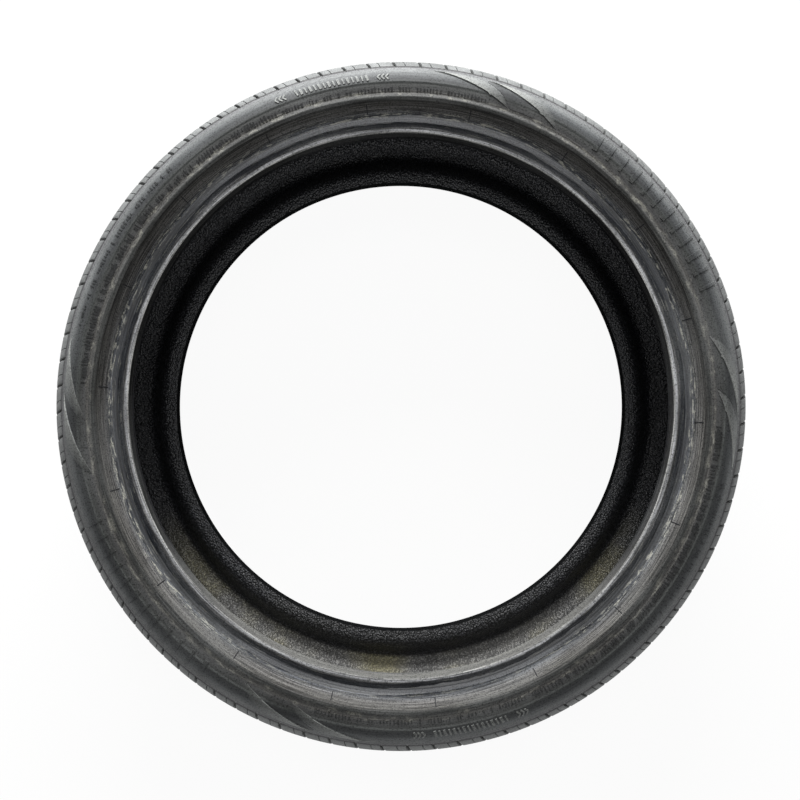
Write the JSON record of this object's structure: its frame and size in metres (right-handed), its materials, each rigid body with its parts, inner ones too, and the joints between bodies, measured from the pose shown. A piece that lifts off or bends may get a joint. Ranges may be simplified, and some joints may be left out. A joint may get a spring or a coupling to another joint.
{
  "type": "car tyre",
  "caption": "Used low-profile car tyre off its rim, with a directional tread, rim protectors, round bead seats and an open inside.",
  "frame": {"origin": "centre of the tyre, on the wheel's axis, half way between the two sidewalls", "axes": "+Z along the wheel's axis, up out of the sidewall that the picture shows; +Y towards the top of the picture; +X towards its right"},
  "size_m": [0.745, 0.7448, 0.272],
  "materials": {
    "aged_rubber": "matte, dusty, worn at the beads"
  },
  "bodies": {
    "root": {"tyre": "aged_rubber"}
  },
  "joints": []
}
